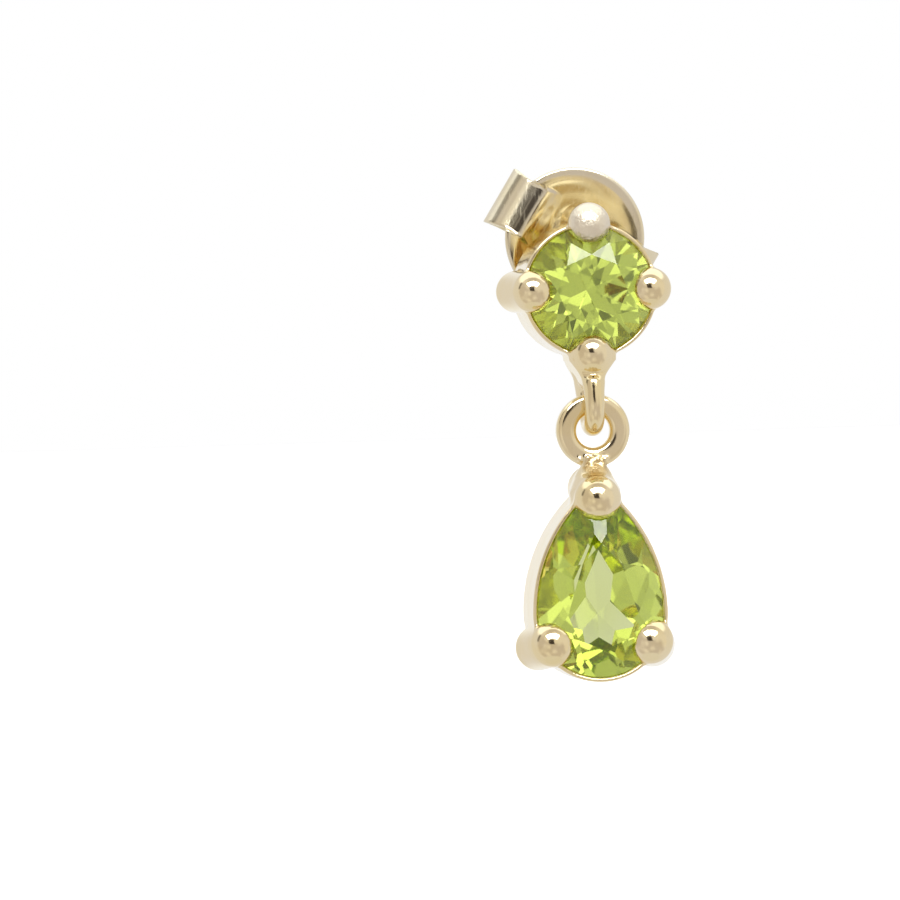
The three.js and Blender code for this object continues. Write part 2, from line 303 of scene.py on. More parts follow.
@dataclass
class Stone:
    """A faceted stone of the frame, read for the seat that it needs.

    Attributes:
        node: The frame's node.
        cut: Its outline.
        half_width: Half of its width at the girdle, in millimetres.
        length: Its height, seen from the front.
        crown: How far its table stands ahead of the girdle's middle.
    """

    node: str
    cut: Cut
    half_width: float = 2.0
    length: float = 4.0
    crown: float = 0.645
    middle: Array = field(init=False)
    planes: Array = field(init=False)

    def __post_init__(self) -> None:
        """Finds the girdle's middle from the node's box, and the facets' planes from its faces."""
        low, high = (np.array(corner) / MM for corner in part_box(self.node))
        self.middle = np.array([0.0, low[1] + self.crown, low[2] + self.half_width])
        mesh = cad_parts[self.node].data
        count = len(mesh.polygons)
        normals = np.empty(count * 3)
        centres = np.empty(count * 3)
        mesh.polygons.foreach_get("normal", normals)
        mesh.polygons.foreach_get("center", centres)
        normals = normals.reshape(-1, 3)
        reach = (normals * centres.reshape(-1, 3)).sum(axis=1) / MM
        facets = np.column_stack([normals, reach])[np.abs(normals[:, 1]) > 0.15]
        _, first = np.unique(np.round(facets, 2), axis=0, return_index=True)
        self.planes = facets[np.sort(first)]

    @property
    def tip(self) -> float:
        """How far the top of the outline stands above its middle."""
        return self.length - self.half_width

    def outline(self, x: Array, z: Array) -> Array:
        """Distance from the girdle's outline, seen from the front.

        The round stone's is a circle. The pear's is a half circle below its middle, and above it
        the two side arcs, whose radius comes from the width and the height of the point.

        Args:
            x: Places across.
            z: Places up.

        Returns:
            The distance, negative within the outline.
        """
        across, up = x - self.middle[0], z - self.middle[2]
        circle = np.hypot(across, up) - self.half_width
        if self.cut is Cut.ROUND:
            return circle
        side = (self.tip**2 + self.half_width**2) / (2 * self.half_width)
        arcs = np.hypot(np.abs(across) + side - self.half_width, up) - side
        return np.where(up > 0, arcs, circle)

    def solid(self, x: Array, y: Array, z: Array) -> Array:
        """Distance from the whole stone: the furthest out of its facet planes and its outline.

        Args:
            x: Places across.
            y: Places back.
            z: Places up.

        Returns:
            The distance, negative inside.
        """
        value = self.outline(x, z)
        for nx, ny, nz, reach in self.planes:
            value = np.maximum(value, nx * x + ny * y + nz * z - reach)
        return value

    def dress(self, material: bpy.types.Material) -> None:
        """Gives the frame's own stone its material, and leaves its shape as it is."""
        dress(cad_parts[self.node], material)
        log.info("%s: %d facets", self.node, len(self.planes))


@dataclass
class Head:
    """A stone's setting: a thin wall with a ledge at the back, and prongs along it."""

    stone: Stone
    depth: float
    ledge_width: float
    rim: float = 0.15
    rim_lift: float = 0.09
    wall: float = 0.35
    ledge: float = 0.45
    seat_gap: float = 0.04
    prong_lead: float = 0.82
    prong_end: float = 0.3
    outer_edge: float = 0.07
    inner_edge: float = 0.06
    seat_edge: float = 0.025

    def shell(self, x: Array, y: Array, z: Array) -> Array:
        """The wall and ledge: the outline's prism less the bore in front and the window behind.

        Args:
            x: Places across.
            y: Places back.
            z: Places up.

        Returns:
            The distance, negative inside.
        """
        outline = self.stone.outline(x, z)
        girdle = self.stone.middle[1]
        front = girdle - self.rim_lift - y
        back = y - girdle - self.depth
        body = soft_meet(outline - self.rim, np.maximum(front, back), self.outer_edge)
        bore = np.maximum(outline - self.rim + self.wall, y - girdle - self.depth + self.ledge)
        window = outline - self.rim + self.wall + self.ledge_width
        return soft_cut(body, soft_union(bore, window, self.inner_edge), self.inner_edge)

    def prong(self, points: Points, front: Array, back: Array, radius: float) -> Array:
        """A prong domed in front and rounded behind.

        Args:
            points: The places asked about.
            front: Across and up from the stone's middle, where it bends over the stone.
            back: The same at its other end, further out.
            radius: Half of its thickness.

        Returns:
            The distance to it.
        """
        middle = self.stone.middle
        start = middle + np.array([front[0], radius - self.prong_lead, front[1]])
        end = middle + np.array([back[0], self.depth - self.prong_end - radius, back[1]])
        return bar(points, start, end, radius, radius)

    def seated(self, metal: Array, x: Array, y: Array, z: Array) -> Array:
        """Cuts the stone's seat out of the metal."""
        return soft_cut(metal, self.stone.solid(x, y, z) - self.seat_gap, self.seat_edge)


# Finishes


class Wiring:
    """A short way to place shader nodes and join them."""

    def __init__(self, tree: bpy.types.NodeTree) -> None:
        """Starts from an empty tree."""
        self.tree = tree
        tree.nodes.clear()

    def add(self, kind: str, inputs: dict | None = None, **settings: object) -> bpy.types.Node:
        """Adds a node.

        Args:
            kind: Blender's name of the node type.
            inputs: Values or output sockets, by input name or number.
            settings: The node's own options.

        Returns:
            The node.
        """
        node = self.tree.nodes.new(kind)
        for key, value in settings.items():
            setattr(node, key, value)
        for key, value in (inputs or {}).items():
            if isinstance(value, bpy.types.NodeSocket):
                self.tree.links.new(value, node.inputs[key])
            else:
                node.inputs[key].default_value = value
        return node

    def math(self, operation: str, first: object, second: object = 0.0) -> bpy.types.NodeSocket:
        """A number worked out from two others."""
        return self.add("ShaderNodeMath", {0: first, 1: second}, operation=operation).outputs[0]

    def ramp(self, value: object, low: float, high: float) -> bpy.types.NodeSocket:
        """A mask that rises smoothly from 0 at low to 1 at high."""
        inputs = {"Value": value, "From Min": low, "From Max": high}
        return self.add("ShaderNodeMapRange", inputs, interpolation_type="SMOOTHSTEP").outputs[0]

    def band(self, value: object, edges: tuple[float, float, float, float]) -> bpy.types.NodeSocket:
        """A mask that rises from the first edge to the second and falls from the third to the fourth."""
        rise = self.ramp(value, edges[0], edges[1])
        return self.math("MULTIPLY", rise, self.ramp(value, edges[3], edges[2]))

    def product(self, *masks: object) -> bpy.types.NodeSocket:
        """Several masks multiplied together, one after the other."""
        return reduce(lambda first, second: self.math("MULTIPLY", first, second), masks)

    def mix(self, share: object, first: object, second: object) -> bpy.types.NodeSocket:
        """A colour between two others."""
        node = self.add("ShaderNodeMix", {0: share, 6: first, 7: second}, data_type="RGBA")
        return node.outputs[2]


def worn_metal() -> bpy.types.NodeTree:
    """The node group of hand-worked metal, which every metal piece uses.

    Its colour drifts between two tones, its gloss is broken by fine streaks, and its height has
    long shallow waves, scratches, and grain round one spot that was soldered or knocked.

    Returns:
        The group, with Color, Roughness and Height coming out.
    """
    tree = bpy.data.node_groups.new("worn_metal", "ShaderNodeTree")
    sockets = {
        "Light": "NodeSocketColor",
        "Deep": "NodeSocketColor",
        "Roughness": "NodeSocketFloat",
        "Spot Place": "NodeSocketVector",
        "Spot Radius": "NodeSocketFloat",
        "Spot Color": "NodeSocketColor",
        "Spot Roughness": "NodeSocketFloat",
    }
    for name, kind in sockets.items():
        tree.interface.new_socket(name, in_out="INPUT", socket_type=kind)
    for name, kind in (("Color", "NodeSocketColor"), ("Roughness", "NodeSocketFloat"),
                       ("Height", "NodeSocketFloat")):
        tree.interface.new_socket(name, in_out="OUTPUT", socket_type=kind)
    net = Wiring(tree)
    given = net.add("NodeGroupInput").outputs
    place = net.add("ShaderNodeTexCoord").outputs["Object"]
    turned = {"Vector": place, "Rotation": (0.5, 0.9, 0.3), "Scale": (1, 1, 0.08)}
    long_way = net.add("ShaderNodeMapping", turned).outputs[0]
    cloud = net.add("ShaderNodeTexNoise", {"Vector": place, "Scale": 800.0, "Detail": 3.0}).outputs[0]
    waves = net.add("ShaderNodeTexNoise", {"Vector": place, "Scale": 620.0, "Detail": 0.0}).outputs[0]
    fine = {"Vector": long_way, "Scale": 16000.0, "Detail": 2.0}
    streaks = net.add("ShaderNodeTexNoise", fine).outputs[0]
    grain = net.add("ShaderNodeTexNoise", {"Vector": place, "Scale": 7000.0, "Detail": 3.0}).outputs[0]
    apart = net.add("ShaderNodeVectorMath", {0: place, 1: given["Spot Place"]}, operation="DISTANCE")
    edge = net.math("MULTIPLY", given["Spot Radius"], net.math("ADD", cloud, 0.45))
    spot = net.ramp(net.math("DIVIDE", apart.outputs["Value"], edge), 1.15, 0.75)

    tone = net.mix(net.ramp(cloud, 0.35, 0.65), given["Light"], given["Deep"])
    color = net.mix(spot, tone, given["Spot Color"])
    streaky = net.math("ADD", given["Roughness"], net.product(net.ramp(streaks, 0.5, 0.75), 0.1))
    between = {0: spot, 2: streaky, 3: given["Spot Roughness"]}
    rough = net.add("ShaderNodeMix", between, data_type="FLOAT")
    scratches = net.product(net.ramp(streaks, 0.55, 0.75), 0.12)
    pits = net.product(grain, spot, 9.0)
    height = net.math("ADD", net.math("ADD", net.product(waves, 7.0), scratches), pits)
    net.add("NodeGroupOutput", {"Color": color, "Roughness": rough.outputs[0], "Height": height})
    return tree


@dataclass(frozen=True)
class Spot:
    """A place where the metal was soldered or scuffed, in metres."""

    place: tuple[float, float, float] = (0.0, 0.0, 1.0)
    radius: float = 0.0001
    color: tuple[float, float, float] = (0.93, 0.82, 0.56)
    roughness: float = 0.3


@dataclass(frozen=True)
class Gold:
    """Polished yellow gold with fine scratches, shallow waves and a slightly uneven tone."""

    name: str
    spot: Spot = Spot()
    light: tuple[float, float, float] = (0.93, 0.82, 0.56)
    deep: tuple[float, float, float] = (0.92, 0.79, 0.48)
    roughness: float = 0.08

    def make(self, wear: bpy.types.NodeTree) -> bpy.types.Material:
        """Builds the material.

        Args:
            wear: The node group of worn metal.

        Returns:
            The material.
        """
        material = bpy.data.materials.new(self.name)
        material.use_nodes = True
        net = Wiring(material.node_tree)
        inputs = {
            "Light": (*self.light, 1),
            "Deep": (*self.deep, 1),
            "Roughness": self.roughness,
            "Spot Place": self.spot.place,
            "Spot Radius": self.spot.radius,
            "Spot Color": (*self.spot.color, 1),
            "Spot Roughness": self.spot.roughness,
        }
        worn = net.add("ShaderNodeGroup", node_tree=wear)
        for key, value in inputs.items():
            worn.inputs[key].default_value = value
        relief = {"Strength": 1.0, "Distance": 0.000004, "Height": worn.outputs["Height"]}
        bump = net.add("ShaderNodeBump", relief)
        shader = net.add(
            "ShaderNodeBsdfPrincipled",
            {
                "Base Color": worn.outputs["Color"],
                "Metallic": 1.0,
                "Roughness": worn.outputs["Roughness"],
                "Normal": bump.outputs[0],
            },
        )
        net.add("ShaderNodeOutputMaterial", {"Surface": shader.outputs[0]})
        return material


@dataclass(frozen=True)
class Peridot:
    """Clear lime green stone: it bends light strongly and soaks up the red and the blue in it."""

    name: str = "peridot"
    surface: tuple[float, float, float] = (0.9, 0.975, 0.86)
    tint: tuple[float, float, float] = (0.906, 0.94, 0.35)
    strength: float = 520.0
    bending: float = 1.67
    polish: float = 0.045

    def make(self) -> bpy.types.Material:
        """Builds the material.

        Returns:
            The material.
        """
        material = bpy.data.materials.new(self.name)
        material.use_nodes = True
        net = Wiring(material.node_tree)
        shader = net.add(
            "ShaderNodeBsdfPrincipled",
            {
                "Base Color": (*self.surface, 1),
                "Roughness": self.polish,
                "IOR": self.bending,
                "Transmission Weight": 1.0,
            },
        )
        soaked = {"Color": (*self.tint, 1), "Density": self.strength}
        inside = net.add("ShaderNodeVolumeAbsorption", soaked)
        ends = {"Surface": shader.outputs[0], "Volume": inside.outputs[0]}
        net.add("ShaderNodeOutputMaterial", ends)
        return material


# The earring's metal pieces


@dataclass
class Stud:
    """The round stone's setting with the ear post behind and the loop below."""

    head: Head
    prong_radius: float = 0.67
    prong_fronts: tuple[float, ...] = (1.9, 2.1, 1.84, 2.0)
    prong_back: float = 2.12
    bead_front: float = 0.25
    post_radius: float = 0.4
    post_start: float = -0.25
    post_end: float = 10.0
    wire: float = 0.32
    loop_lead: float = 0.4
    bend: float = 0.722
    bow: float = 2.8
    leg: float = 0.62
    foot_radius: float = 0.45
    swing_drop: float = 3.595
    foot: tuple[float, float] = (-0.3, 1.8)
    web_low: float = 0.42
    web_high: float = 1.8
    web_thin: float = 0.28
    web_flare: float = 0.45
    web_flare_start: float = 0.35
    web_wide: float = 0.75
    web_inset: float = 0.04
    web_depth: float = 1.45
    web_slope: float = 0.3
    web_side_edge: float = 0.25
    web_end_edge: float = 0.3
    prong_fillet: float = 0.1
    web_fillet: float = 0.12
    loop_fillet: float = 0.2
    post_fillet: float = 0.08

    def loop(self, points: Points) -> Array:
        """The loop: a front leg, a bend round the swing axis and a leg that leans to the back.

        The bend is a part of a ring. The front leg follows the arc of a far larger ring, with a ball
        on its top, and the back leg is a bar that leaves the bend along its tangent.

        Args:
            points: The places asked about.

        Returns:
            The distance to the nearest of the four.
        """
        x, y, z = points
        middle = self.head.stone.middle
        axis = np.array([0.0, middle[1] - self.loop_lead + self.bend, middle[2] - self.swing_drop])
        foot = np.array([0.0, self.foot[0], middle[2] - self.foot[1]])
        reach = foot - axis
        lean = math.atan2(reach[1], reach[2]) - math.asin(self.bend / math.hypot(reach[1], reach[2]))
        heel = axis + self.bend * np.array([0.0, math.cos(lean), -math.sin(lean)])
        ahead, up = y - axis[1], z - axis[2]
        ring = np.hypot(np.hypot(ahead, up) - self.bend, x) - self.wire
        behind = ahead * math.sin(lean) + up * math.cos(lean) < 0
        bend = np.where(behind & ((up < 0) | (ahead > 0)), ring, FAR)
        swept = np.hypot(ahead + self.bend - self.bow, up) - self.bow
        on_leg = (up >= 0) & (up < self.leg) & (ahead < 1)
        front = np.where(on_leg, np.hypot(swept, x) - self.wire, FAR)
        top = ahead - self.bow + self.bend + math.sqrt(self.bow**2 - self.leg**2)
        cap = np.sqrt(top**2 + (up - self.leg) ** 2 + x**2) - self.wire
        back = bar(points, heel, foot, self.wire, self.foot_radius)
        return np.minimum(np.minimum(bend, cap), np.minimum(front, back))

    def web(self, points: Points) -> Array:
        """The deep neck between the wall and the loop, which widens with the square of its height.

        Args:
            points: The places asked about.

        Returns:
            The distance to it, with its long edges and its ends rounded.
        """
        x, y, z = points
        middle = self.head.stone.middle
        ahead = y - (middle[1] - self.loop_lead)
        up = z - (middle[2] - self.swing_drop)
        flare = self.web_flare * np.maximum(up - self.web_flare_start, 0) ** 2
        half = np.minimum(self.web_thin + flare, self.web_wide)
        depth = np.maximum(self.web_inset - ahead, ahead - self.web_depth - self.web_slope * up)
        height = np.maximum(self.web_low - up, up - self.web_high)
        upright = soft_meet(np.abs(x) - half, depth, self.web_side_edge)
        return soft_meet(upright, height, self.web_end_edge)

    def top_bead(self) -> Array:
        """The front of the top prong, which is scuffed."""
        front = self.bead_front - self.head.prong_lead
        return self.head.stone.middle + np.array([0.0, front, self.prong_fronts[1]])

    def metal(self, x: Array, y: Array, z: Array) -> Array:
        """The whole piece, cast and soldered into one.

        Args:
            x: Places across.
            y: Places back.
            z: Places up.

        Returns:
            The distance, negative inside the metal.
        """
        points = (x, y, z)
        form = self.head.shell(x, y, z)
        for turn, reach in enumerate(self.prong_fronts):
            way = np.array([math.cos(turn * math.pi / 2), math.sin(turn * math.pi / 2)])
            prong = self.head.prong(points, way * reach, way * self.prong_back, self.prong_radius)
            form = soft_union(form, prong, self.prong_fillet)
        form = soft_union(form, self.web(points), self.web_fillet)
        form = soft_union(form, self.loop(points), self.loop_fillet)
        start = np.array([0.0, self.post_start, 0.0])
        end = np.array([0.0, self.post_end - self.post_radius, 0.0])
        post = bar(points, start, end, self.post_radius, self.post_radius)
        form = soft_union(form, post, self.post_fillet)
        return self.head.seated(form, x, y, z)

    def build(self, gold: bpy.types.Material) -> None:
        """Makes the piece and dresses it."""
        cast("stud_metal", "stud_setting", "stud", self.metal, gold)


@dataclass
class Drop:
    """The pear stone's setting with the ring soldered on its top."""

    head: Head
    prong_radius: float = 0.73
    prong_reach: float = 1.95
    prong_angle: float = 30.0
    spread: float = 0.3
    tip_radius: float = 0.75
    tip_inset: float = 0.35
    ring_rise: float = 1.8
    ring_back: float = 0.7
    ring_outer: float = 1.17
    ring_hole: float = 0.54
    ring_thickness: float = 0.6
    ring_edge: float = 0.2
    neck_drop: float = 0.34
    neck_lean: float = 0.8
    neck_rise: float = 0.2
    neck_thin: float = 0.56
    neck_wide: float = 0.78
    neck_sink: float = 0.1
    grain_count: int = 34
    grain_groups: int = 4
    grain_arch: float = 0.4
    grain_length: float = 0.01
    grain_sizes: tuple[float, float] = (0.04, 0.09)
    joint_grains: tuple[tuple[float, ...], ...] = ((-0.5, 0.0, 0.0), (0.45, 0.34, 0.06))
    neck_grains: tuple[tuple[float, ...], ...] = ((-0.05, -0.5, -0.22), (0.3, -0.12, -0.1))
    tip_fillet: float = 0.12
    prong_fillet: float = 0.1
    neck_fillet: float = 0.2
    ring_fillet: float = 0.07
    grain_fillet: float = 0.02

    def ring(self, points: Points) -> Array:
        """The flat ring: a rounded rectangle carried round a circle.

        Args:
            points: The places asked about.

        Returns:
            The distance to it.
        """
        x, y, z = points
        middle = self.head.stone.middle
        away = np.hypot(x, z - middle[2] - self.head.stone.tip - self.ring_rise)
        across = np.abs(away - (self.ring_outer + self.ring_hole) / 2)
        deep = np.abs(y - middle[1] - self.ring_back)
        across -= (self.ring_outer - self.ring_hole) / 2 - self.ring_edge
        deep -= self.ring_thickness / 2 - self.ring_edge
        return np.hypot(np.maximum(across, 0), np.maximum(deep, 0)) - self.ring_edge

    def neck(self, points: Points) -> Array:
        """The solder between the ring and the prong at the pear's point.

        Args:
            points: The places asked about.

        Returns:
            The distance to a bar that widens downwards.
        """
        middle = self.head.stone.middle
        tip = self.head.stone.tip
        high = tip + self.ring_rise - self.ring_outer - self.neck_drop
        low = tip - self.tip_inset + self.neck_rise
        top = middle + np.array([0.0, self.ring_back, high])
        end = middle + np.array([0.0, self.ring_back * self.neck_lean, low])
        return bar(points, top, end, self.neck_thin, self.neck_wide)

    def solder(self) -> Array:
        """The middle of the solder, just under the ring in front."""
        rise = self.head.stone.tip + self.ring_rise - self.ring_outer
        front = self.ring_back - self.ring_thickness / 2
        return self.head.stone.middle + np.array([0.0, front, rise])

    def grains(self, form: Array, points: Points) -> Array:
        """Beads of solder left on the joint: small balls at random places over it.

        Three in four lie on the joint, higher up towards its sides by the square of the distance,
        and the fourth lies lower down on the neck.

        Args:
            form: The metal so far.
            points: The places asked about.

        Returns:
            The metal with the balls melted onto it.
        """
        source = np.random.default_rng(7)
        middle = self.solder()
        for turn in range(self.grain_count):
            low = turn % self.grain_groups == 0
            across, rise, sink = source.uniform(*(self.neck_grains if low else self.joint_grains))
            rise += 0.0 if low else self.grain_arch * across**2
            place = middle + np.array([across, sink + (self.neck_sink if low else 0.0), rise])
            size = source.uniform(*self.grain_sizes)
            ball = bar(points, place, place + np.array([0.0, self.grain_length, 0.0]), size, size)
            form = soft_union(form, ball, self.grain_fillet)
        return form

    def metal(self, x: Array, y: Array, z: Array) -> Array:
        """The whole piece, cast and soldered into one.

        Args:
            x: Places across.
            y: Places back.
            z: Places up.

        Returns:
            The distance, negative inside the metal.
        """
        points = (x, y, z)
        form = self.head.shell(x, y, z)
        tip = self.head.stone.tip - self.tip_inset
        ends = np.array([0, tip]), np.array([0, tip + self.spread])
        form = soft_union(form, self.head.prong(points, *ends, self.tip_radius), self.tip_fillet)
        turn = math.radians(self.prong_angle)
        for side in (-1, 1):
            way = np.array([side * math.cos(turn), -math.sin(turn)])
            near, far = self.prong_reach - self.spread / 2, self.prong_reach + self.spread / 2
            prong = self.head.prong(points, way * near, way * far, self.prong_radius)
            form = soft_union(form, prong, self.prong_fillet)
        form = soft_union(form, self.neck(points), self.neck_fillet)
        form = soft_union(form, self.ring(points), self.ring_fillet)
        form = self.grains(form, points)
        return self.head.seated(form, x, y, z)

    def build(self, gold: bpy.types.Material) -> None:
        """Makes the piece and dresses it."""
        cast("drop_metal", "drop_setting", "drop", self.metal, gold)


@dataclass
class PushBack:
    """The friction nut: a dished disc with a collar, and two ears that dip and roll back to the post.

    The disc has a notch on each side, where an ear leaves it. The scroll gives the ear's middle line
    as shares of its length outwards and of its depth backwards.
    """

    gap: float = 0.62
    turn: float = 32.0
    disc: float = 2.24
    floor: float = 0.95
    brim: float = 2.15
    notch: float = 1.5
    dish: float = 0.3
    sheet: float = 0.2
    hole: float = 0.45
    collar: float = 0.24
    collar_depth: float = 0.45
    half_length: float = 2.7
    scroll_depth: float = 1.55
    ear_half: float = 1.0
    waist: float = 0.14
    slope_share: float = 0.9
    brim_edge: float = 0.08
    ear_edge: float = 0.06
    hole_edge: float = 0.05
    fillet: float = 0.08
    scroll: tuple[tuple[float, float], ...] = (
        (0.0, 0.22), (0.12, 0.19), (0.3, 0.08), (0.45, 0.03), (0.62, 0.07), (0.82, 0.19),
        (1.0, 0.48), (0.93, 0.78), (0.68, 0.98), (0.32, 1.0), (0.02, 0.86),
    )

    def scroll_line(self) -> Array:
        """The ear's middle line from the dish's floor: a smooth curve through its few places.

        Each stretch between two places is the cubic that leaves them along the line from the place
        before to the place after.

        Returns:
            Places outwards and ahead, in millimetres.
        """
        inner = self.floor - self.sheet
        run = self.half_length - self.sheet / 2 - inner
        places = np.array([(inner + out * run, -self.sheet / 2 - back * self.scroll_depth)
                           for out, back in self.scroll])
        padded = np.vstack([places[0], places, places[-1]])
        steps = 8
        share = np.linspace(0, 1, steps + 1)[:-1, None]
        parts = []
        for first, second, third, fourth in zip(padded, padded[1:], padded[2:], padded[3:]):
            parts.append(0.5 * (2 * second + (third - first) * share
                                + (2 * first - 5 * second + 4 * third - fourth) * share**2
                                + (3 * second - first - 3 * third + fourth) * share**3))
        return np.vstack([*parts, places[-1]])

    def ears(self, out: Array, side: Array, ahead: Array) -> Array:
        """Both ears: the distance to the middle line less half the sheet, within the ear's width.

        Args:
            out: How far the places lie from the post along the ears.
            side: How far they lie to the side of the ears' middle.
            ahead: How far they lie ahead of the nut's face.

        Returns:
            The distance, negative inside an ear.
        """
        line = self.scroll_line()
        best = np.full(out.shape, FAR)
        for start, end in zip(line, line[1:]):
            run = end - start
            share = (out - start[0]) * run[0] + (ahead - start[1]) * run[1]
            share = np.clip(share / (run @ run), 0, 1)
            away = np.hypot(out - start[0] - share * run[0], ahead - start[1] - share * run[1])
            best = np.minimum(best, away)
        return soft_meet(best - self.sheet / 2, np.abs(side) - self.ear_width(out), self.ear_edge)

    def ear_width(self, out: Array) -> Array:
        """Half of the ears' width, which has a waist between the dish and the roll."""
        share = np.clip((out - self.floor) / (self.half_length - self.floor), 0, 1)
        return self.ear_half - self.waist * np.sin(math.pi * share)

    def metal(self, x: Array, y: Array, z: Array) -> Array:
        """The whole nut, about the post's axis.

        The disc is a sheet whose level falls smoothly from the brim to the dish's floor.

        Args:
            x: Places across.
            y: Places back.
            z: Places up.

        Returns:
            The distance, negative inside the metal.
        """
        angle = math.radians(self.turn)
        along = x * math.cos(angle) - z * math.sin(angle)
        side = x * math.sin(angle) + z * math.cos(angle)
        ahead = self.gap - y
        away = np.hypot(x, z)
        rise = smooth_step((away - self.floor) / (self.brim - self.floor))
        level = -self.dish * (1 - rise) - self.sheet / 2
        sheet = np.abs(ahead - level) * self.slope_share - self.sheet / 2
        plate = soft_meet(sheet, away - self.disc, self.brim_edge)
        notch = np.maximum(np.abs(side) - self.ear_width(np.abs(along)), self.notch - np.abs(along))
        plate = soft_cut(plate, notch, self.hole_edge)
        collar = np.abs(away - self.hole - self.collar / 2) - self.collar / 2
        behind = -self.dish - self.sheet - self.collar_depth
        collar = soft_meet(collar, np.maximum(behind - ahead, ahead + self.dish), self.ear_edge)
        form = soft_union(plate, collar, self.fillet)
        form = soft_union(form, self.ears(np.abs(along), side, ahead), self.fillet)
        return soft_cut(form, away - self.hole, self.hole_edge)

    def build(self, gold: bpy.types.Material) -> None:
        """Makes the nut and dresses it."""
        cast("nut_metal", "push_back", "nut", self.metal, gold)


# The studio


@dataclass(frozen=True)
class Bearings:
    """Sockets that tell where a ray goes and what kind of ray it is."""

    way: bpy.types.NodeSocket
    ahead: bpy.types.NodeSocket
    across: bpy.types.NodeSocket
    height: bpy.types.NodeSocket
    through: bpy.types.NodeSocket
    depth: bpy.types.NodeSocket


